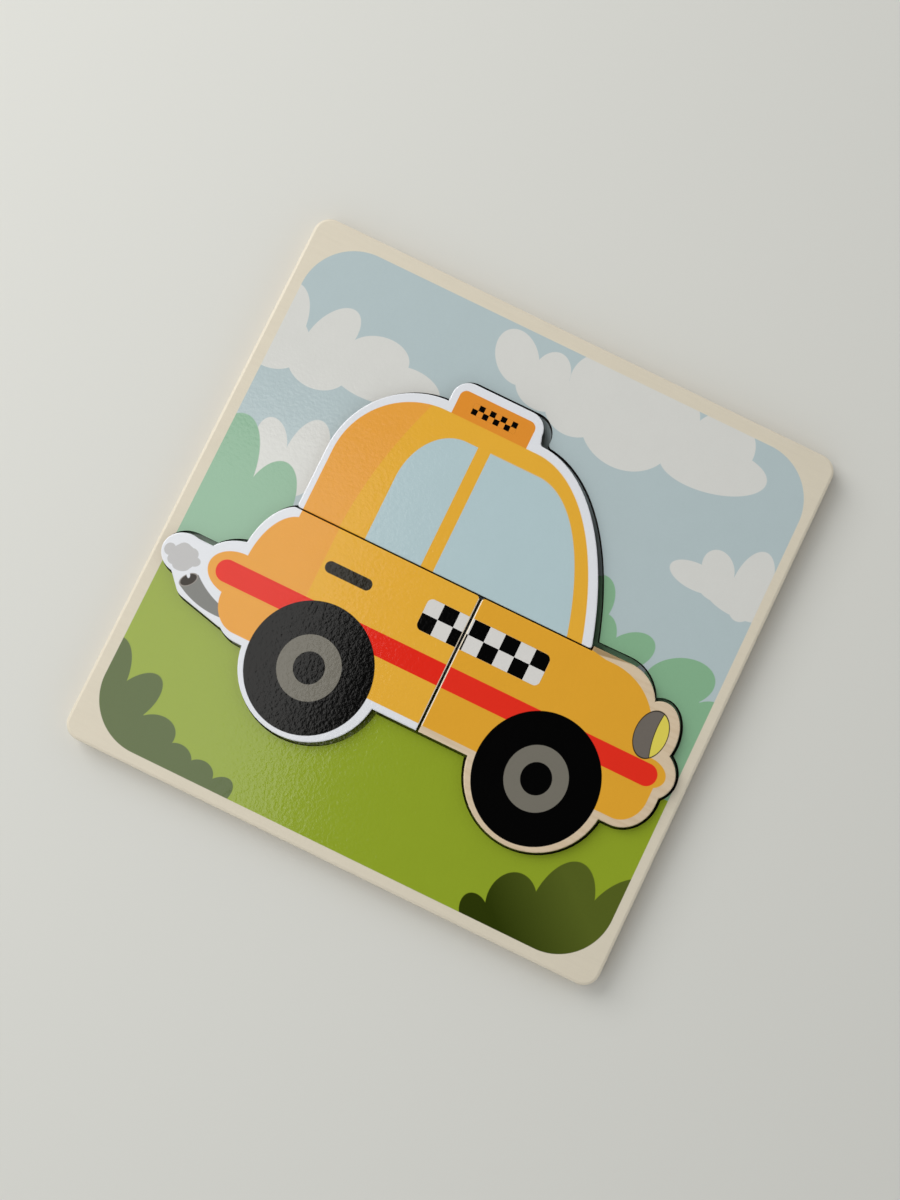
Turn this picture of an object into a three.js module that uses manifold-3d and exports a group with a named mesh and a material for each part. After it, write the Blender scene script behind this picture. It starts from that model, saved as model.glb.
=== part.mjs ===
// Wooden car puzzle: a square tray of two glued sheets with a car-shaped pocket, and three loose pieces.
// Millimetres. +Z is up, +X points to the car's nose, +Y to its roof. The origin is under the tray's middle.
import * as THREE from "three";
import { mergeVertices } from "three/addons/utils/BufferGeometryUtils.js";
import Module from "manifold-3d";

// Sheets and edges
const backingThick = 2.5;
const frameThick = 3;
const pieceThick = 5;
const trayCorner = 4.5;
const trayEase = 0.8;
const pieceEase = 0.3;

// Wood left between the pocket and the tray's two ends
const rimBehindSmoke = 2.15;
const rimBeforeBumper = 2.9;

// Fit of the pieces: saw cut between them, room around them, and how they lie, pushed to the tail
const sawCut = 0.2;
const pocketRoom = 0.85;
const sideRest = 0.15;
const roofRest = 0.85;
const openedSeam = 0.15;
const openedDoorSeam = 0.45;
const seamCorner = 1;

// Extra room in the pocket before the windscreen and the sign, and over the hood and the smoke
const screenRoom = 0.5;
const signRoom = 1.05;
const hoodRoom = 0.7;
const hoodRoomBack = 0.9;
const puffRoom = 0.3;

// The car's outline, in lengths from the point where the three pieces meet
const cabTail = 52.4;
const cabHeight = 41.8;
const tailRoundLength = 23.7;
const tailRoundHeight = 24.8;
const screenStart = 3;
const screenSink = 0.2;
const screenLength = 39.75;
const screenHeight = 84.4;
const signMiddle = 16.7;
const signWidth = 25.7;
const signRise = 6.8;
const signCorner = 4.6;
const signLean = 0.5;
const signFoot = 0.9;
const signFootLength = 1.6;

const bodyTail = 59.9;
const bodyNose = 62.4;
const sillDrop = 37.9;
const trunkRise = 0.6;
const trunkLength = 10;
const trunkDrop = 16.3;
const hoodRise = 1.3;
const hoodRound = 10.5;
const hoodFromNose = 20.7;
const sillRoundLength = 8.7;
const sillRoundHeight = 9.4;

const wheelRadius = 18.6;
const wheelDrop = 35.5;
const rearWheelBack = 30.9;
const frontWheelAhead = 32.4;

const tailBumperInset = 3.7;
const tailBumperDrop = 22.2;
const tailBumperLength = 12.2;
const tailBumperHeight = 9;
const noseBumperInset = 7.1;
const noseBumperDrop = 21.9;
const noseBumperLength = 9.1;
const noseBumperHeight = 7.5;
const lampInset = 8.2;
const lampDrop = 12.9;
const lampLength = 6.5;
const lampHeight = 9.2;

const pipeRadius = 4.15;
const pipeRootInset = 3.7;
const pipeRootDrop = 32;
const pipeReach = 11.35;
const pipeLift = 2.7;
const neckBehindMouth = 3.8;
const neckAboveMouth = 4.2;
const smokeBehindMouth = 5.3;
const smokeAboveMouth = 6.05;
const smokeLength = 6;
const smokeHeight = 5.3;
const puffAhead = 5.7;
const puffAbove = 1.85;
const puffRadius = 3.2;

// Lines worked out from the sizes above
const quarter = Math.PI / 2;
const half = Math.PI;
const full = 2 * Math.PI;
const screenTop = cabHeight - screenSink;
const screenCentreY = screenTop - screenHeight;
const tailBumperX = tailBumperInset - bodyTail;
const noseBumperX = bodyNose - noseBumperInset;
const lampX = bodyNose - lampInset;
const pipeRootX = pipeRootInset - bodyTail;
const mouthX = pipeRootX - pipeReach;
const mouthY = -pipeRootDrop + pipeLift;
const smokeX = mouthX - smokeBehindMouth;
const smokeY = mouthY + smokeAboveMouth;
const carTail = smokeX - smokeLength - pocketRoom;
const carNose = Math.max(noseBumperX + noseBumperLength, bodyNose) + pocketRoom;
const carRoof = cabHeight + signRise + pocketRoom;
const carGround = -wheelDrop - wheelRadius - pocketRoom;
const trayTail = carTail - rimBehindSmoke;
const trayNose = carNose + rimBeforeBumper;
const traySide = trayNose - trayTail;
const trayThick = backingThick + frameThick;
const meetX = -(trayTail + trayNose) / 2;
const meetY = -(carRoof + carGround) / 2;
const farAway = traySide;

const wasm = await Module();
wasm.setup();

function solidOf(geometry) {
  const plain = geometry.index ? geometry.toNonIndexed() : geometry;
  plain.deleteAttribute("normal");
  plain.deleteAttribute("uv");
  const merged = mergeVertices(plain, 1e-4);
  return new wasm.Manifold(new wasm.Mesh({
    numProp: 3,
    vertProperties: new Float32Array(merged.attributes.position.array),
    triVerts: new Uint32Array(merged.index.array),
  }));
}

function meshOf(name, solid, material, shiftX = 0, shiftY = 0) {
  const data = solid.translate([meetX + shiftX, meetY + shiftY, 0]).getMesh();
  const geometry = new THREE.BufferGeometry();
  geometry.setAttribute("position", new THREE.BufferAttribute(new Float32Array(data.vertProperties), 3));
  geometry.setIndex(new THREE.BufferAttribute(new Uint32Array(data.triVerts), 1));
  geometry.computeVertexNormals();
  const mesh = new THREE.Mesh(geometry, material);
  mesh.name = name;
  return mesh;
}

// A flat board with the given outline between two heights, its top and bottom edges rounded over by ease
function board(outline, low, high, ease, curveSegments) {
  const geometry = new THREE.ExtrudeGeometry(outline, {
    depth: high - low - 2 * ease,
    curveSegments,
    bevelEnabled: ease > 0,
    bevelThickness: ease,
    bevelSize: ease,
    bevelOffset: -ease,
    bevelSegments: 2,
  });
  geometry.translate(0, 0, low + ease);
  return solidOf(geometry);
}

function joined(solids) {
  return solids.reduce((sum, solid) => sum.add(solid));
}

function oval(x, y, radiusX, radiusY) {
  return new THREE.Shape().absellipse(x, y, radiusX, radiusY, 0, full, false);
}

function roundedBox(left, bottom, right, top, corner) {
  const outline = new THREE.Shape();
  outline.moveTo(right, bottom + corner);
  outline.absarc(right - corner, top - corner, corner, 0, quarter, false);
  outline.absarc(left + corner, top - corner, corner, quarter, half, false);
  outline.absarc(left + corner, bottom + corner, corner, half, half + quarter, false);
  outline.absarc(right - corner, bottom + corner, corner, half + quarter, full, false);
  return outline;
}

function capsule(fromX, fromY, toX, toY, radius) {
  const turn = Math.atan2(toY - fromY, toX - fromX);
  const outline = new THREE.Shape();
  outline.absarc(toX, toY, radius, turn - quarter, turn + quarter, false);
  outline.absarc(fromX, fromY, radius, turn + quarter, turn + half + quarter, false);
  return outline;
}

// Roof, rounded tail end and sloping windscreen; bottom is where the windows are cut off
function cabOutline(grow, loose, bottom) {
  const length = screenLength + grow + loose * screenRoom;
  const height = screenHeight + grow;
  const slope = Math.asin((bottom + seamCorner - screenCentreY) / height);
  const fall = (bottom - screenCentreY) / height;
  const footX = -screenStart + length * Math.sqrt(1 - fall ** 2);
  const outline = new THREE.Shape();
  outline.moveTo(-cabTail - grow + seamCorner, bottom);
  outline.lineTo(footX - seamCorner, bottom);
  outline.quadraticCurveTo(footX, bottom, -screenStart + length * Math.cos(slope), bottom + seamCorner);
  const lengthRound = tailRoundLength + grow;
  const heightRound = tailRoundHeight + grow;
  outline.absellipse(-screenStart, screenCentreY, length, height, slope, quarter, false);
  outline.absellipse(
    tailRoundLength - cabTail, cabHeight - tailRoundHeight, lengthRound, heightRound, quarter, half, false,
  );
  outline.lineTo(-cabTail - grow, bottom + seamCorner);
  outline.quadraticCurveTo(-cabTail - grow, bottom, -cabTail - grow + seamCorner, bottom);
  return outline;
}

// The roof sign, from inside the cab up; its nose end leans out to a rounded foot on the roof
function signOutline(grow, loose) {
  const left = -signMiddle - signWidth / 2 - grow;
  const right = -signMiddle + signWidth / 2 + grow + loose * signRoom;
  const top = cabHeight + signRise + grow;
  const foot = screenTop + grow;
  const corner = signCorner + grow;
  const footX = right + (1 - loose) * signLean;
  const outline = new THREE.Shape();
  outline.moveTo(left, cabHeight / 2);
  outline.lineTo(footX + signFootLength, cabHeight / 2);
  outline.lineTo(footX + signFootLength, foot - signFoot / 3);
  outline.quadraticCurveTo(footX, foot, footX, foot + signFoot);
  outline.absarc(right - corner, top - corner, corner, 0, quarter, false);
  outline.absarc(left + corner, top - corner, corner, quarter, half, false);
  return outline;
}

// Trunk, hood and the two rounded ends of the sill
function bodyOutline(grow, loose) {
  const sill = -sillDrop - grow;
  const lengthRound = sillRoundLength + grow;
  const heightRound = sillRoundHeight + grow;
  const outline = new THREE.Shape();
  outline.moveTo(-bodyTail - grow, trunkRise - trunkDrop);
  outline.lineTo(-bodyTail - grow, sill + heightRound);
  outline.absellipse(
    lengthRound - bodyTail - grow, sill + heightRound, lengthRound, heightRound, half, half + quarter, false,
  );
  outline.absellipse(
    bodyNose + grow - lengthRound, sill + heightRound, lengthRound, heightRound, half + quarter, full, false,
  );
  outline.lineTo(bodyNose + grow, -noseBumperDrop);
  const hoodX = bodyNose - hoodFromNose - loose * hoodRoomBack;
  const hoodY = hoodRise - hoodRound + loose * hoodRoom;
  outline.absarc(hoodX, hoodY, hoodRound + grow, 0, quarter, false);
  outline.absellipse(
    trunkLength - bodyTail, trunkRise - trunkDrop, trunkLength + grow, trunkDrop + grow, quarter, half, false,
  );
  return outline;
}

// Loose is 0 for a piece and 1 for the pocket
function cabShape(grow, loose, bottom, low, high, ease) {
  return joined([
    board(cabOutline(grow, loose, bottom), low, high, ease, 20),
    board(signOutline(grow, loose), low, high, ease, 6),
  ]);
}

function lowerShape(grow, loose, low, high, ease) {
  const wheel = wheelRadius + grow;
  const ovals = [
    [-rearWheelBack, -wheelDrop, wheel, wheel],
    [frontWheelAhead, -wheelDrop, wheel, wheel],
    [tailBumperX, -tailBumperDrop, tailBumperLength + grow, tailBumperHeight + grow],
    [noseBumperX, -noseBumperDrop, noseBumperLength + grow, noseBumperHeight + grow],
    [lampX, -lampDrop, lampLength + grow, lampHeight + grow],
    [smokeX, smokeY, smokeLength + grow, smokeHeight + grow],
  ];
  const pipe = capsule(mouthX, mouthY, pipeRootX, -pipeRootDrop, pipeRadius + grow);
  const neck = capsule(
    mouthX, mouthY, mouthX - neckBehindMouth, mouthY + neckAboveMouth, pipeRadius + grow,
  );
  const puffY = smokeY + puffAbove;
  const puff = capsule(smokeX, puffY, smokeX + puffAhead, puffY, puffRadius + grow + loose * puffRoom);
  return joined([
    board(bodyOutline(grow, loose), low, high, ease, 9),
    board(pipe, low, high, ease, 9),
    board(neck, low, high, ease, 9),
    board(puff, low, high, ease, 9),
    ...ovals.map((sizes) => board(oval(...sizes), low, high, ease, 30)),
  ]);
}

// The part of the lower body on one side of the upright seam, with the corner below the cab rounded
function rearField(top) {
  const outline = new THREE.Shape();
  outline.moveTo(-farAway, -farAway);
  outline.lineTo(-sawCut / 2, -farAway);
  outline.absarc(-sawCut / 2 - seamCorner, top - seamCorner, seamCorner, 0, quarter, false);
  outline.lineTo(-farAway, top);
  return outline;
}

// The front keeps its hood where that rises beside the foot of the windscreen
function frontField(top, hoodStart) {
  const outline = new THREE.Shape();
  outline.moveTo(sawCut / 2, -farAway);
  outline.lineTo(farAway, -farAway);
  outline.lineTo(farAway, farAway);
  outline.lineTo(hoodStart, farAway);
  outline.lineTo(hoodStart, top);
  outline.absarc(sawCut / 2 + seamCorner, top - seamCorner, seamCorner, quarter, half, false);
  return outline;
}

const pocketFloor = backingThick;
const pieceTop = pocketFloor + pieceThick;
const cabBottom = sawCut / 2;
const lowerTop = -sawCut / 2;
const screenFoot = -screenStart + screenLength * Math.sqrt(1 - (screenCentreY / screenHeight) ** 2);

const middleX = (trayTail + trayNose) / 2;
const middleY = (carRoof + carGround) / 2;
const trayOutline = roundedBox(
  middleX - traySide / 2, middleY - traySide / 2, middleX + traySide / 2, middleY + traySide / 2, trayCorner,
);
const tray = board(trayOutline, 0, trayThick, trayEase, 6);
const square = roundedBox(-farAway, -farAway, farAway, farAway, trayCorner);
const backing = tray.intersect(board(square, -trayThick, pocketFloor, 0, 2));
const pocket = joined([
  cabShape(pocketRoom, 1, -pocketRoom, pocketFloor - 1, trayThick + 1, 0),
  lowerShape(pocketRoom, 1, pocketFloor - 1, trayThick + 1, 0),
]);
const frame = tray.intersect(board(square, pocketFloor, 2 * trayThick, 0, 2)).subtract(pocket);

const cab = cabShape(0, 0, cabBottom, pocketFloor, pieceTop, pieceEase);
const lower = lowerShape(0, 0, pocketFloor, pieceTop, pieceEase);
const rear = lower.intersect(board(rearField(lowerTop), pocketFloor, pieceTop, pieceEase, 4));
const front = lower.intersect(
  board(frontField(lowerTop, screenFoot - sawCut), pocketFloor, pieceTop, pieceEase, 4),
);

// How far each piece has slid from the middle of its place in the pocket
const tailShift = sideRest - pocketRoom;
const roofShift = pocketRoom - roofRest;
const lowerShift = roofShift - openedSeam;

const bareWood = new THREE.MeshStandardMaterial({ color: 0xd9c19a, roughness: 0.75, metalness: 0 });
const printedFrame = new THREE.MeshStandardMaterial({ color: 0xb4ccd0, roughness: 0.5, metalness: 0 });
const printedCab = new THREE.MeshStandardMaterial({ color: 0xe0aa38, roughness: 0.45, metalness: 0 });
const printedRear = new THREE.MeshStandardMaterial({ color: 0xdf9d3c, roughness: 0.45, metalness: 0 });
const printedFront = new THREE.MeshStandardMaterial({ color: 0xd9a431, roughness: 0.45, metalness: 0 });

const puzzle = new THREE.Group();
puzzle.name = "wooden_car_puzzle";
puzzle.add(meshOf("backing_board", backing, bareWood));
puzzle.add(meshOf("frame_board", frame, printedFrame));
puzzle.add(meshOf("cab_piece", cab, printedCab, tailShift, roofShift));
puzzle.add(meshOf("rear_piece", rear, printedRear, tailShift, lowerShift));
puzzle.add(meshOf("front_piece", front, printedFront, tailShift + openedDoorSeam, lowerShift));

export default puzzle;
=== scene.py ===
import math

import bmesh
import bpy
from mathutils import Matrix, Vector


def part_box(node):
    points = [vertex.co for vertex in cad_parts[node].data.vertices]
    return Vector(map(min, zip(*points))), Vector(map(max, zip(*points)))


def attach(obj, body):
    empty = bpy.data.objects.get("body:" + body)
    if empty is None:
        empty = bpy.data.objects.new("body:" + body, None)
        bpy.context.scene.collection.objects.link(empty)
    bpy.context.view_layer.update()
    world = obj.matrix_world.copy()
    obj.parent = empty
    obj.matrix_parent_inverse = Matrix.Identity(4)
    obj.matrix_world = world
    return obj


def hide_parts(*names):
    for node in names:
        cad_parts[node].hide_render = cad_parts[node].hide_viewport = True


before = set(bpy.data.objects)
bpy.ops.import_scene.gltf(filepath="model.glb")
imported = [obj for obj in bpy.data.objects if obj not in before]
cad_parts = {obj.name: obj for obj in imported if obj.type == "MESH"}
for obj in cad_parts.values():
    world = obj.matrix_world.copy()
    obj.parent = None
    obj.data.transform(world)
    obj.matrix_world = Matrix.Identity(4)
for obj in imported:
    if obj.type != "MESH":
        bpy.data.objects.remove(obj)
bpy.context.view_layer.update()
scene = bpy.context.scene
mm = 0.001

# the print is laid out in mm from the tray's middle, and follows the point where the three pieces meet
drawnMeet = (6.375, 2.675)
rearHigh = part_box("rear_piece")[1]
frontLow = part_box("front_piece")[0]
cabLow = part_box("cab_piece")[0]
slipX = (rearHigh[0] + frontLow[0]) / 2 / mm - drawnMeet[0]
slipY = (rearHigh[1] + cabLow[1]) / 2 / mm - drawnMeet[1]
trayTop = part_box("frame_board")[1][2] / mm
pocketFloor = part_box("frame_board")[0][2] / mm
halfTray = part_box("frame_board")[1][0] / mm
print("frame loaded, print slips", round(slipX, 3), round(slipY, 3), "mm")


class Wire:
    def __init__(self, tree, socket):
        self.tree = tree
        self.socket = socket

    def node(self, kind, settings=None, sockets=None, out=0):
        made = self.tree.nodes.new("ShaderNode" + kind)
        for name, value in (settings or {}).items():
            setattr(made, name, value)
        for name, value in (sockets or {}).items():
            if isinstance(value, Wire):
                self.tree.links.new(value.socket, made.inputs[name])
            else:
                made.inputs[name].default_value = value
        return Wire(self.tree, made.outputs[out])

    def other(self, out):
        return Wire(self.tree, self.socket.node.outputs[out])

    def math(self, operation, *values, clamp=False):
        settings = {"operation": operation, "use_clamp": clamp}
        return self.node("Math", settings, dict(enumerate(values)))

    def vector(self, operation, *values, out=0):
        return self.node("VectorMath", {"operation": operation}, dict(enumerate(values)), out)

    def __add__(self, value):
        return self.math("ADD", self, value)

    def __sub__(self, value):
        return self.math("SUBTRACT", self, value)

    def __rsub__(self, value):
        return self.math("SUBTRACT", value, self)

    def __mul__(self, value):
        return self.math("MULTIPLY", self, value)

    def __truediv__(self, value):
        return self.math("DIVIDE", self, value)

    def __mod__(self, value):
        return self.math("FLOORED_MODULO", self, value)

    def __neg__(self):
        return self.math("MULTIPLY", self, -1.0)

    def __abs__(self):
        return self.math("ABSOLUTE", self)

    # outlines are distances in mm, below zero inside: | joins two, & keeps what both hold
    def __or__(self, value):
        return self.math("MINIMUM", self, value)

    def __and__(self, value):
        return self.math("MAXIMUM", self, value)

    __radd__ = __add__
    __rmul__ = __mul__


def tint(red, green, blue):
    def linear(level):
        level /= 255
        return level / 12.92 if level <= 0.04045 else ((level + 0.055) / 1.055) ** 2.4
    return (linear(red), linear(green), linear(blue), 1.0)


endless = 1e6  # mm, so that no outline ends in height


def oval(spot, x, y, radiusX, radiusY, lean=0):
    near = min(radiusX, radiusY)
    placed = {
        "Location": (x, y, 0), "Rotation": (0, 0, math.radians(lean)), "Scale": (radiusX, radiusY, endless),
    }
    scaled = spot.node("Mapping", {"vector_type": "TEXTURE"}, {"Vector": spot, **placed})
    return spot.math("MULTIPLY_ADD", spot.vector("LENGTH", scaled, out="Value"), near, -near)


# the side of an outline that turns round one elliptical corner, towards sideX and sideY
def roundedSide(spot, x, y, radiusX, radiusY, sideX, sideY):
    near = min(radiusX, radiusY)
    perX = sideX / radiusX
    perY = sideY / radiusY
    scaled = spot.vector("MULTIPLY_ADD", spot, (perX, perY, 0), (-x * perX, -y * perY, 0))
    outer = spot.vector("MAXIMUM", scaled, (0, 0, 0))
    return spot.math("MULTIPLY_ADD", spot.vector("LENGTH", outer, out="Value"), near, -near)


def bar(spot, left, right, low, high, radius):
    middle = ((left + right) / 2, (low + high) / 2, 0)
    reach = ((right - left) / 2 - radius, (high - low) / 2 - radius, endless)
    apart = spot.vector("ABSOLUTE", spot.vector("SUBTRACT", spot, middle))
    outer = spot.vector("MAXIMUM", spot.vector("SUBTRACT", apart, reach), (0, 0, 0))
    return spot.vector("LENGTH", outer, out="Value") - radius


# below zero on the left of a walk from one point to the other
def leftOf(spot, fromX, fromY, toX, toY):
    long = math.hypot(toX - fromX, toY - fromY)
    outX = (toY - fromY) / long
    outY = -(toX - fromX) / long
    along = spot.vector("DOT_PRODUCT", spot, (outX, outY, 0), out="Value")
    return along - (outX * fromX + outY * fromY)


def joinOvals(spot, rows):
    outline = oval(spot, *rows[0])
    for row in rows[1:]:
        outline = outline | oval(spot, *row)
    return outline


inkEdge = 0.14  # mm over which one ink gives way to the next


def filled(outline, soft=inkEdge):
    return outline.math("MULTIPLY_ADD", outline, -1 / soft, 0.5, clamp=True)


def over(under, ink, mask):
    sockets = {0: mask, 6: under, 7: ink}
    return mask.node("Mix", {"data_type": "RGBA"}, sockets, 2)


def chequer(spot, left, high, pitchX, pitchY):
    perSquare = (1 / pitchX, 1 / pitchY, 0)
    squares = spot.vector("MULTIPLY_ADD", spot, perSquare, (-left / pitchX, -high / pitchY, 0))
    cell = spot.node("SeparateXYZ", {}, {0: spot.vector("FLOOR", squares)})
    return (cell + cell.other(1) + 1) % 2


def noise(spot, perMm, detail=2.0, stretch=(1, 1, 1)):
    placed = spot.vector("MULTIPLY", spot, stretch)
    return spot.node("TexNoise", {}, {"Vector": placed, "Scale": perMm, "Detail": detail})


# the places where a noise passes a level
def streaks(grain, level, soft):
    return filled(level - grain, soft)


def newPaint(name, slipped=True):
    paint = bpy.data.materials.new(name)
    paint.use_nodes = True
    start = Wire(paint.node_tree, None)
    place = start.node("TexCoord", out="Object")
    slip = (-slipX, -slipY, 0) if slipped else (0, 0, 0)
    return paint, place.vector("MULTIPLY_ADD", place, (1 / mm, 1 / mm, 1 / mm), slip)


def setPaint(paint, colour, roughness, height, depth, specular):
    tree = paint.node_tree
    shader = tree.nodes["Principled BSDF"]
    bump = height.node("Bump", {}, {"Strength": 1.0, "Distance": depth * mm, "Height": height})
    tree.links.new(colour.socket, shader.inputs["Base Color"])
    tree.links.new(roughness.socket, shader.inputs["Roughness"])
    tree.links.new(bump.socket, shader.inputs["Normal"])
    shader.inputs["Specular IOR Level"].default_value = specular


# satin ink on sanded wood: a fine pebble, a little uneven in colour and shine (noises: per mm, detail)
inkFilm = {
    "pebble": (1.15, 2.5), "cloudy": (0.16, 3.0), "speck": (3.2, 1.0),
    "depth": 0.04, "cloudyShare": 0.5, "mottle": 0.035,
    "roughness": 0.11, "bareRoughness": 0.5, "uneven": 0.04,
}


def inked(paint, spot, colour, shine, cover=None):
    pebble = noise(spot, *inkFilm["pebble"])
    cloudy = noise(spot, *inkFilm["cloudy"])
    speck = noise(spot, *inkFilm["speck"])
    light = 1 - inkFilm["mottle"] + (cloudy + speck) * inkFilm["mottle"]
    shaded = spot.node("VectorMath", {"operation": "SCALE"}, {0: colour, "Scale": light})
    roughness = inkFilm["roughness"] + (cloudy + speck - 1) * inkFilm["uneven"]
    if cover:
        roughness = roughness + (1 - cover) * (inkFilm["bareRoughness"] - inkFilm["roughness"])
    setPaint(paint, shaded, roughness, pebble + cloudy * inkFilm["cloudyShare"], inkFilm["depth"], shine)
    return paint


# noises: per mm, detail, stretch; streaks: level, softness; shares of a colour; depths of the relief
edgeGrain = {
    "fibre": (0.9, 3.0, (1, 1, 5)), "fibreStreaks": (0.56, 0.3), "fibreShare": 0.45,
    "pore": (2.6, 2.0, (1, 1, 2.2)), "poreStreaks": (0.62, 0.1), "poreShare": 0.5, "poreDepth": 0.6,
    "glueLine": (0.44, 0.06), "glueShare": 0.8, "glueDepth": 0.5,
    "scorchDetail": (2.0, (1, 1, 0.3)), "scorchStreaks": (0.5, 0.35),
    "roughness": (0.62, 0.25), "depth": 0.05, "shine": 0.3,
}


# sawn or sanded plywood edges, in plies of one thickness from a lowest height
def plywoodEdge(name, look):
    paint, spot = newPaint(name, slipped=False)
    wood = edgeGrain
    xyz = spot.node("SeparateXYZ", {}, {0: spot})
    level = (xyz.other(2) - look["lowest"]) / look["ply"]
    odd = level.math("FLOOR", level) % 2
    glue = streaks(abs(level.math("FRACT", level) - 0.5), *wood["glueLine"])
    fibre = noise(spot, *wood["fibre"])
    pore = noise(spot, *wood["pore"])
    scorch = noise(spot, look["scorchPerMm"], *wood["scorchDetail"])
    scorched = streaks(scorch, *wood["scorchStreaks"]) * look["scorchShare"]
    colour = over(tint(*look["long"]), tint(*look["cross"]), odd)
    colour = over(colour, tint(*look["dark"]), streaks(fibre, *wood["fibreStreaks"]) * wood["fibreShare"])
    colour = over(colour, tint(*look["dark"]), streaks(pore, *wood["poreStreaks"]) * wood["poreShare"])
    colour = over(colour, tint(*look["glue"]), glue * wood["glueShare"])
    colour = over(colour, tint(*look["scorch"]), scorched)
    plain, rough = wood["roughness"]
    relief = fibre + pore * wood["poreDepth"] - glue * wood["glueDepth"]
    setPaint(paint, colour, plain + fibre * rough, relief, wood["depth"], wood["shine"])
    return paint


sandedPly = {
    "lowest": 0.0, "ply": 0.833, "long": (226, 207, 173), "cross": (203, 177, 138), "dark": (176, 146, 106),
    "glue": (150, 118, 84), "scorch": (186, 152, 110), "scorchPerMm": 0.06, "scorchShare": 0.3,
}
burntPly = {
    "lowest": pocketFloor, "ply": 1.0, "long": (112, 78, 50), "cross": (88, 58, 36), "dark": (56, 36, 24),
    "glue": (40, 26, 18), "scorch": (34, 23, 17), "scorchPerMm": 0.11, "scorchShare": 0.7,
}
# the pocket's walls: burnt ply darkened nearly to black, partly real burn and partly painted shade of the
# deep narrow gap
burntShadedPly = {
    **burntPly, "long": (52, 38, 27), "cross": (40, 28, 20), "dark": (26, 18, 12),
    "glue": (18, 12, 9), "scorch": (14, 10, 8),
}
outerEdge = plywoodEdge("sandedPlyEdge", sandedPly)
cutEdge = plywoodEdge("burntCutEdge", burntPly)
pocketEdge = plywoodEdge("burntShadedPocketEdge", burntShadedPly)

veneer = {
    "pale": (228, 208, 172), "mid": (211, 184, 143), "dark": (186, 154, 112), "poreInk": (150, 116, 80),
    "wave": (0.05, 2.0, (0.35, 1, 1)), "bend": (0, 9, 0),
    "grain": (0.42, 4.0, (0.05, 1, 1)), "grainStreaks": (0.52, 0.35), "grainDepth": 0.5,
    "fibre": (2.4, 3.0, (0.06, 1, 1)), "fibreStreaks": (0.58, 0.25), "fibreShare": 0.4,
    "pore": (3.4, 1.0, (0.12, 1, 1)), "poreStreaks": (0.68, 0.06), "poreShare": 0.55,
    "roughness": (0.55, 0.2), "depth": 0.03, "shine": 0.35,
}


# the bare face veneer of an underside, its grain along X
def bareVeneer(name, look):
    paint, spot = newPaint(name, slipped=False)
    wave = noise(spot, *look["wave"])
    bent = spot.vector("MULTIPLY_ADD", wave.other("Color"), look["bend"], spot)
    grain = noise(bent, *look["grain"])
    fibre = noise(bent, *look["fibre"])
    pores = streaks(noise(spot, *look["pore"]), *look["poreStreaks"])
    colour = over(tint(*look["pale"]), tint(*look["mid"]), streaks(grain, *look["grainStreaks"]))
    colour = over(colour, tint(*look["dark"]), streaks(fibre, *look["fibreStreaks"]) * look["fibreShare"])
    colour = over(colour, tint(*look["poreInk"]), pores * look["poreShare"])
    plain, rough = look["roughness"]
    relief = fibre + grain * look["grainDepth"] - pores
    setPaint(paint, colour, plain + fibre * rough, relief, look["depth"], look["shine"])
    return paint


underside = bareVeneer("bareVeneer", veneer)
print("wood finishes made")

# lengths in mm, angles in degrees
weld = {"merge": 0.002, "sliver": 0.001, "level": 0.01, "smoothBelow": 32, "openEdge": 180}


# a copy of a solid, welded, its curved walls shaded smooth and its faces given to finishes by where they lie
def dress(name, node, body, finishes, chooseFinish):
    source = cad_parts[node].data
    bm = bmesh.new()
    bm.from_mesh(source)
    bmesh.ops.remove_doubles(bm, verts=bm.verts, dist=weld["merge"] * mm)
    bmesh.ops.dissolve_degenerate(bm, edges=bm.edges, dist=weld["sliver"] * mm)
    for face in bm.faces:
        face.material_index = chooseFinish(face.normal, face.calc_center_median() / mm)
        face.smooth = True
    for edge in bm.edges:
        level = abs(edge.verts[0].co.z - edge.verts[1].co.z) < weld["level"] * mm
        turn = math.degrees(edge.calc_face_angle(math.radians(weld["openEdge"])))
        edge.smooth = not level and turn < weld["smoothBelow"]
    mesh = bpy.data.meshes.new(name)
    bm.to_mesh(mesh)
    bm.free()
    for finish in finishes:
        mesh.materials.append(finish)
    piece = bpy.data.objects.new(name, mesh)
    scene.collection.objects.link(piece)
    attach(piece, body)
    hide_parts(node)


# how far up a face has to look to be printed or to count as flat, and the rim's outer band in mm
facing = {"printed": 0.2, "flat": 0.6, "rimBand": 1.2}


# a loose piece: print on top, scorched walls, bare veneer below
def looseFinish(normal, middle):
    if normal.z > facing["printed"]:
        return 0
    return 2 if normal.z < -facing["flat"] else 1


# the tray's top sheet: print on top, scorched walls inside the pocket darkened further as painted shade,
# sanded edges outside
def frameFinish(normal, middle):
    if normal.z > facing["printed"]:
        return 0
    inPocket = max(abs(middle.x), abs(middle.y)) < halfTray - facing["rimBand"]
    return 1 if inPocket and abs(normal.z) < facing["flat"] else 2


# the tray's thin floor sheet: print on top, bare veneer below, sanded edges
def backingFinish(normal, middle):
    if normal.z > facing["flat"]:
        return 0
    return 1 if normal.z < -facing["flat"] else 2


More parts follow.
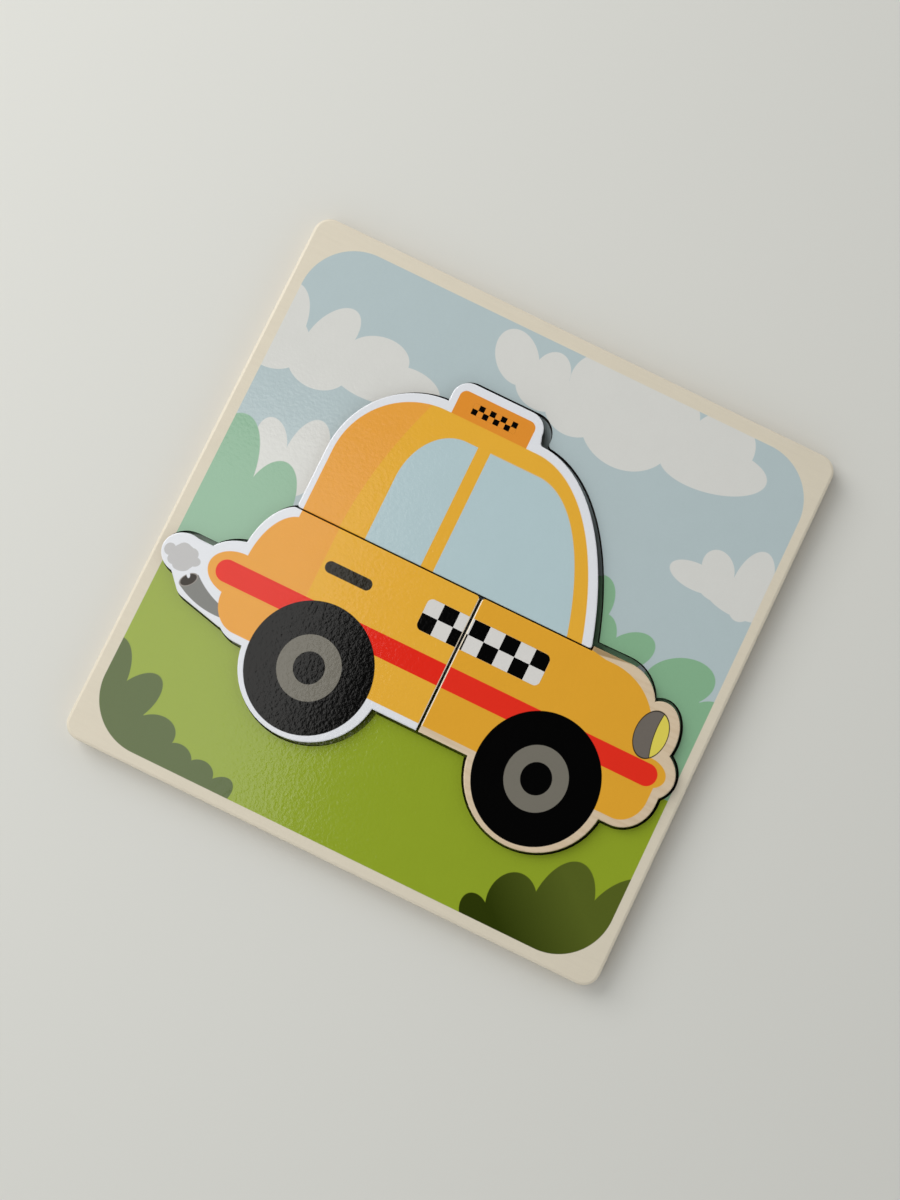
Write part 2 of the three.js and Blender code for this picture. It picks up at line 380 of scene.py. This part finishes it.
# landscape printed on the tray, and on the pocket's floor under the car: all outlines in mm
landscape = {
    "window": (-71.3, 71.8, -71.7, 71.0, 15.0), "horizon": -23.5, "shine": 0.5,
    "cream": (214, 206, 188), "creamGrain": (212, 204, 186), "fibre": (1.1, 3.0, (0.08, 1, 1)),
    "fibreStreaks": (0.52, 0.3),
    "sky": (178, 194, 198), "cloud": (213, 214, 211), "mint": (140, 180, 152), "leaf": (134, 178, 143),
    "grass": (142, 162, 42), "farShrub": (75, 94, 35), "shrub": (85, 97, 34),
    "shrubShade": (44, 55, 7), "shadeLine": (57, -66.1, 41.8, -53.1), "shadeWidth": 21,
    "leftCloud": [
        (-72, 44, 6.8, 11.6), (-58.2, 46.5, 9.5, 5.3, 70), (-45, 46.5, 8.5, 6, 15), (-34, 43.5, 8.3, 4.8),
        (-71, 40, 9, 8), (-58, 39, 8.5, 6.9), (-45, 42, 12, 6.4),
    ],
    "lowCloud": [(-60, 15, 6.5, 4.2, 116), (-50.5, 15.5, 5.2, 10.2), (-55, 9, 9, 6)],
    "topCloud": [
        (-12.5, 63, 7.6, 5.6, 130), (-2.5, 62.5, 4.9, 6.5), (-3, 59, 7.5, 6.4), (7, 57, 8, 6.9),
        (21.5, 58.5, 12.5, 10.6), (20, 66, 18, 12), (45.5, 66, 8.6, 8), (46, 58.8, 14.3, 6.3, 12),
        (37.5, 62, 3, 3),
    ],
    "rightCloud": [
        (54, 31.6, 7.5, 3.5), (58.2, 35.8, 5.2, 4.2, 130), (67.8, 35.5, 5, 9.8), (66.5, 31, 10, 4.5),
        (60, 32, 6, 4.3),
    ],
    "leftBush": [(-68.5, 0, 8.8, 18.8), (-54, 0, 6.6, 12), (-60, -14, 18, 14)],
    "rightBush": [
        (33, 14.5, 4.8, 7.2), (37.5, 6, 4.8, 7), (46.5, 6.7, 7, 4.6, 45), (61.5, 5.2, 9.3, 6.2, 28),
        (73, -6, 8, 10.6), (66, -4, 9, 7), (50, -16, 28, 17),
    ],
    "leftShrub": [
        (-71.5, -58, 6, 11.5), (-62.1, -59.6, 8.95, 4.75, 65), (-54.2, -65.55, 6.45, 5, 33),
        (-45.85, -68.35, 4.3, 3.9), (-39, -69.4, 4.05, 3.7, 20), (-33.15, -71.8, 5.35, 3.35, 58),
        (-67.2, -68.2, 11.5, 10.7), (-52, -75, 21, 8),
    ],
    "rightShrub": [
        (39.4, -70.3, 3.7, 5.2, 40), (46.8, -64, 6.4, 7.9, 6), (58.9, -60.6, 7.7, 13.5),
        (73.7, -56.3, 8.3, 12.9, -20), (60, -71, 19, 12),
    ],
}


def landscapePaint():
    paint, spot = newPaint("landscapePrint")
    look = landscape
    xyz = spot.node("SeparateXYZ", {}, {0: spot})
    colour = tint(*look["sky"])
    for cloud in ("leftCloud", "lowCloud", "topCloud", "rightCloud"):
        colour = over(colour, tint(*look["cloud"]), filled(joinOvals(spot, look[cloud])))
    colour = over(colour, tint(*look["mint"]), filled(joinOvals(spot, look["leftBush"])))
    colour = over(colour, tint(*look["leaf"]), filled(joinOvals(spot, look["rightBush"])))
    colour = over(colour, tint(*look["grass"]), filled(xyz.other(1) - look["horizon"]))
    colour = over(colour, tint(*look["farShrub"]), filled(joinOvals(spot, look["leftShrub"])))
    shade = filled(leftOf(spot, *look["shadeLine"]), look["shadeWidth"])
    shrub = over(tint(*look["shrub"]), tint(*look["shrubShade"]), shade)
    colour = over(colour, shrub, filled(joinOvals(spot, look["rightShrub"])))
    fibre = streaks(noise(spot, *look["fibre"]), *look["fibreStreaks"])
    bare = over(tint(*look["cream"]), tint(*look["creamGrain"]), fibre)
    cover = filled(bar(spot, *look["window"]))
    return inked(paint, spot, over(bare, colour, cover), look["shine"], cover)


landscapePrint = landscapePaint()
backingFinishes = [landscapePrint, underside, outerEdge]
frameFinishes = [landscapePrint, pocketEdge, outerEdge]
dress("trayBacking", "backing_board", "tray", backingFinishes, backingFinish)
dress("trayFrame", "frame_board", "tray", frameFinishes, frameFinish)
print("tray dressed")

# inks that run over from one loose piece to the next
carInk = {
    "white": (222, 225, 231), "yellow": (227, 172, 58), "orange": (228, 160, 66), "black": (4, 4, 4),
    "ring": (116, 113, 104), "glass": (177, 199, 205), "sign": (222, 142, 50), "shine": 0.28,
    "stripe": (-57.8, 66.4, -22.8, -16.9, 2.9), "beltLap": 1,
    "chequers": (-5.55, 29.1, -12.0, -3.3, 1.6), "chequerPitch": (4.33, 4.35),
    "chequerWhite": (214, 213, 211),
    "tyre": (16.55, 17.3), "rim": (8.25, 8.6), "hub": (4.05, 4.25),
    "sawnMargin": (6.38, 0.58), "margin": (230, 220, 200),
}


def ink(name):
    return tint(*carInk[name])


def stripeAndChequers(spot, x, colour, red):
    colour = over(colour, tint(*red), filled(bar(spot, *carInk["stripe"])))
    left, right, low, high, radius = carInk["chequers"]
    black = chequer(spot, left, high, *carInk["chequerPitch"])
    squares = over(ink("chequerWhite"), ink("black"), black)
    colour = over(colour, squares, filled(bar(spot, left, right, low, high, radius)))
    middle, reach = carInk["sawnMargin"]
    return over(colour, ink("margin"), filled(abs(x - middle) - reach))


def wheel(spot, colour, x, y):
    colour = over(colour, ink("black"), filled(oval(spot, x, y, *carInk["tyre"])))
    colour = over(colour, ink("ring"), filled(oval(spot, x, y, *carInk["rim"])))
    return over(colour, ink("black"), filled(oval(spot, x, y, *carInk["hub"])))


cab = {
    "tailRound": (-22.5, 20, 22.1, 22, -1, 1), "screen": (3, -40, 37, 82, 1, 1),
    "sign": (-21.4, 0.0, 36, 49, 1.9),
    "signSquares": (-16.9, 47.0, 1.55, 1.55), "signBand": (-16.9, -4.5, 43.9, 47.0, 0.2),
    "rearGlass": (-14.5, 20.5, 12.5, 16.3, -1, 1), "rearGlassEnd": -11.2,
    "frontGlass": (6, -40, 29.3, 76.8, 1, 1), "frontGlassStart": -7.7,
    "shadeFoot": -34.2, "shadeLean": 0.035, "shadeBend": 0.0042, "shadeLevel": 3.0,
}


def cabPaint():
    paint, spot = newPaint("cabPrint")
    xyz = spot.node("SeparateXYZ", {}, {0: spot})
    rise = xyz.other(1) - cab["shadeLevel"]
    shade = xyz - cab["shadeFoot"] - rise * cab["shadeLean"] - rise * rise * cab["shadeBend"]
    signSquares = filled(bar(spot, *cab["signBand"])) * chequer(spot, *cab["signSquares"])
    signInk = over(ink("sign"), ink("black"), signSquares)
    colour = over(ink("white"), signInk, filled(bar(spot, *cab["sign"])))
    body = over(ink("yellow"), ink("orange"), filled(shade))
    rearGlass = roundedSide(spot, *cab["rearGlass"]) & (xyz - cab["rearGlassEnd"])
    frontGlass = roundedSide(spot, *cab["frontGlass"]) & (cab["frontGlassStart"] - xyz)
    body = over(body, ink("glass"), filled(rearGlass | frontGlass))
    outline = roundedSide(spot, *cab["tailRound"]) & roundedSide(spot, *cab["screen"])
    return inked(paint, spot, over(colour, body, filled(outline)), carInk["shine"])


rear = {
    "trunk": (-43, -14.5, 8.9, 15.3, -1, 1), "sill": (-46.5, -25, 7.3, 8.4, -1, -1), "belt": -19.7,
    "bumper": (-52, -19.7, 8.0, 5.7), "cabFoot": -44.6, "shadeStart": -34.0, "red": (225, 42, 28),
    "wheel": (-25.27, -32.88), "handle": (-33.1, -20.0, -9.0, -5.85, 1.5), "handleInk": (36, 33, 25),
    "pipeTop": (-46.7, -7.4, 21.8, 21.8), "pipeLow": (-52.9, -9.35, 22, 22),
    "pipeEnd": (-62.07, -25.3, -63.33, -26.9), "pipeInk": (124, 125, 122),
    "mouth": (2.6, 1.45), "mouthPlace": (-62.7, -26.1), "mouthTurn": 51, "mouthInk": (48, 41, 34),
    "rimWidth": 0.2, "rimInk": (146, 140, 134),
    "smoke": [
        (-66.5, -21.5, 3.4, 3.4), (-67, -20, 2.1, 2.1), (-64.7, -19.9, 1.6, 1.6),
        (-63.6, -21.4, 1.8, 1.3, 15), (-70.4, -21.1, 1.5, 1.6), (-68.6, -23, 1.5, 1.4),
        (-66, -23.7, 2.3, 1.4, 15),
    ],
    "smokeInk": (186, 186, 187), "wisp": (-63.3, -25.0, 0.45, 0.85, 30),
}


def rearPaint():
    paint, spot = newPaint("rearPrint")
    xyz = spot.node("SeparateXYZ", {}, {0: spot})
    y = xyz.other(1)
    lap = carInk["beltLap"]
    turned = spot.node(
        "VectorRotate", {"rotation_type": "Z_AXIS"},
        {"Vector": spot, "Center": (*rear["mouthPlace"], 0), "Angle": -math.radians(rear["mouthTurn"])},
    )
    colour = over(ink("white"), tint(*rear["smokeInk"]), filled(joinOvals(spot, rear["smoke"])))
    mouth = oval(turned, *rear["mouthPlace"], *rear["mouth"])
    tube = oval(spot, *rear["pipeLow"]) & -oval(spot, *rear["pipeTop"]) & leftOf(spot, *rear["pipeEnd"])
    colour = over(colour, tint(*rear["pipeInk"]), filled(tube))
    colour = over(colour, tint(*rear["rimInk"]), filled(mouth))
    colour = over(colour, tint(*rear["mouthInk"]), filled(mouth + rear["rimWidth"]))
    colour = over(colour, ink("white"), filled(oval(spot, *rear["wisp"])))
    upper = roundedSide(spot, *rear["trunk"]) & (rear["belt"] - lap - y)
    lower = roundedSide(spot, *rear["sill"]) & (y - rear["belt"] - lap)
    foot = (rear["cabFoot"] - xyz) & (rear["belt"] - lap - y)
    outline = upper | lower | foot | oval(spot, *rear["bumper"])
    body = over(ink("yellow"), ink("orange"), filled(xyz - rear["shadeStart"]))
    body = stripeAndChequers(spot, xyz, body, rear["red"])
    body = over(body, tint(*rear["handleInk"]), filled(bar(spot, *rear["handle"])))
    colour = over(colour, body, filled(outline))
    return inked(paint, spot, wheel(spot, colour, *rear["wheel"]), carInk["shine"])


front = {
    "wood": (211, 192, 165), "woodGrain": (203, 182, 153),
    "grain": (0.9, 4.0, (0.06, 1, 1)), "grainStreaks": (0.56, 0.25),
    # a darker tan strip along the top edge of the bare border, widest at the cab's foot and narrowing
    # towards the nose
    "hoodEdgeStrip": (45.4, 3.34, 39.4, 2.25), "hoodEdgeInk": (158, 134, 98), "hoodEdgeSoft": 0.3,
    "yellow": (222, 163, 50), "red": (226, 48, 33), "belt": -19.3, "bumper": (63, -19.3, 5.5, 3.8),
    "hood": (44, -14, 16.7, 16, 1, 1), "sill": (60, -26, 6.6, 7.5, 1, -1), "shoulder": (43, 1.8, 37, 2.8),
    "wheel": (38.8, -32.95), "lamp": (60.35, -10.2, 4.35, 6.5), "lampInk": (109, 103, 97),
    "lampLine": (44, 40, 34), "lampRim": 0.22, "lensRim": 0.1, "lensInk": (219, 206, 88),
    "lensFoot": 62.19, "lensLean": 0.31, "lensBend": 0.0202,
}


def frontPaint():
    paint, spot = newPaint("frontPrint")
    xyz = spot.node("SeparateXYZ", {}, {0: spot})
    y = xyz.other(1)
    lap = carInk["beltLap"]
    grain = streaks(noise(spot, *front["grain"]), *front["grainStreaks"])
    wood = over(tint(*front["wood"]), tint(*front["woodGrain"]), grain)
    # the bare border made darker along its top edge next to the cab
    hoodEdgeDark = filled(-leftOf(spot, *front["hoodEdgeStrip"]), front["hoodEdgeSoft"])
    wood = over(wood, tint(*front["hoodEdgeInk"]), hoodEdgeDark)
    upper = roundedSide(spot, *front["hood"]) & (front["belt"] - lap - y)
    lower = roundedSide(spot, *front["sill"]) & (y - front["belt"] - lap)
    shoulder = leftOf(spot, *front["shoulder"]) & (xyz - front["shoulder"][0]) & (front["belt"] - lap - y)
    outline = upper | lower | shoulder | oval(spot, *front["bumper"])
    body = stripeAndChequers(spot, xyz, tint(*front["yellow"]), front["red"])
    colour = over(wood, body, filled(outline))
    lamp = oval(spot, *front["lamp"])
    lens = front["lensFoot"] + y * front["lensLean"] + y * y * front["lensBend"] - xyz
    glow = over(tint(*front["lampInk"]), tint(*front["lensInk"]), filled(lens))
    glow = over(glow, tint(*front["lampLine"]), filled(abs(lens) - front["lensRim"]))
    colour = over(colour, tint(*front["lampLine"]), filled(lamp))
    colour = over(colour, glow, filled(lamp + front["lampRim"]))
    cover = filled(outline | lamp | oval(spot, *front["wheel"], *carInk["tyre"]))
    return inked(paint, spot, wheel(spot, colour, *front["wheel"]), carInk["shine"], cover)


dress("cabPiece", "cab_piece", "cab", [cabPaint(), cutEdge, underside], looseFinish)
dress("rearPiece", "rear_piece", "rear", [rearPaint(), cutEdge, underside], looseFinish)
dress("frontPiece", "front_piece", "front", [frontPaint(), cutEdge, underside], looseFinish)
print("loose pieces dressed")

# the camera's place over the tray's top in metres, its turn in degrees, its focal length in picture pixels
photo = {
    "place": (0.002454, -0.023167, 0.332964), "turn": (3.5727, -1.1460, 25.8673),
    "focal": 1300, "height": 1200, "sensor": 36,
}
cameraData = bpy.data.cameras.new("camera")
cameraData.sensor_width = photo["sensor"]
cameraData.lens = photo["focal"] / photo["height"] * cameraData.sensor_width
camera = bpy.data.objects.new("camera", cameraData)
camera.location = (photo["place"][0], photo["place"][1], photo["place"][2] + trayTop * mm)
camera.rotation_euler = [math.radians(angle) for angle in photo["turn"]]
scene.collection.objects.link(camera)
scene.camera = camera

# a round pale floor, in metres
floorLook = {
    "colour": (213, 214, 210), "roughness": 0.9, "shine": 0.1, "reach": 1.0, "sides": 160, "drop": 0.0001,
}
bm = bmesh.new()
bmesh.ops.create_circle(bm, cap_ends=True, segments=floorLook["sides"], radius=floorLook["reach"])
bmesh.ops.translate(bm, verts=bm.verts, vec=(0, 0, -floorLook["drop"]))
floorMesh = bpy.data.meshes.new("floor")
bm.to_mesh(floorMesh)
bm.free()
floor = bpy.data.objects.new("floor", floorMesh)
scene.collection.objects.link(floor)
floorPaint = bpy.data.materials.new("paleFloor")
floorPaint.use_nodes = True
floorShader = floorPaint.node_tree.nodes["Principled BSDF"]
floorShader.inputs["Base Color"].default_value = tint(*floorLook["colour"])
floorShader.inputs["Roughness"].default_value = floorLook["roughness"]
floorShader.inputs["Specular IOR Level"].default_value = floorLook["shine"]
floorMesh.materials.append(floorPaint)

# a lamp with a turn looks straight down, the other one at the tray
lamps = {
    "window": {"place": (-0.80, 0.28, 0.62), "size": (0.7, 0.7), "watts": 7.2, "warm": (1.0, 0.985, 0.96)},
    "ceiling": {
        "place": (-0.366, -0.31, 1.0), "turn": 5.9, "size": (0.6, 0.9), "watts": 3.6,
        "warm": (1.0, 0.985, 0.95),
    },
}
for lampName, look in lamps.items():
    lampData = bpy.data.lights.new(lampName, "AREA")
    lampData.shape = "RECTANGLE"
    lampData.size, lampData.size_y = look["size"]
    lampData.energy = look["watts"]
    lampData.color = look["warm"]
    lamp = bpy.data.objects.new(lampName, lampData)
    lamp.location = look["place"]
    if "turn" in look:
        lamp.rotation_euler = (0, 0, math.radians(look["turn"]))
    else:
        lamp.rotation_euler = (-lamp.location).to_track_quat("-Z", "Y").to_euler()
    scene.collection.objects.link(lamp)

# a room that is bright low down all round and dark overhead
room = {
    "low": 0.8, "high": 0.02, "fadeFrom": 0.5, "fadeTo": 0.85, "seen": 0.82, "tone": (1.0, 1.0, 0.985, 1.0),
}
world = bpy.data.worlds.new("room")
world.use_nodes = True
scene.world = world
sky = Wire(world.node_tree, None)
ray = sky.node("TexCoord", out="Generated")
height = ray.node("SeparateXYZ", {}, {0: ray}).other(2)
fade = {
    "From Min": room["fadeFrom"], "From Max": room["fadeTo"], "To Min": room["low"], "To Max": room["high"],
}
glow = height.node("MapRange", {"interpolation_type": "SMOOTHSTEP"}, {"Value": height, **fade})
isCamera = glow.node("LightPath", out="Is Camera Ray")
strength = glow + isCamera * (room["seen"] - glow)
background = world.node_tree.nodes["Background"]
background.inputs["Color"].default_value = room["tone"]
world.node_tree.links.new(strength.socket, background.inputs["Strength"])
scene.view_settings.view_transform = "Standard"
print("camera, floor and light set")
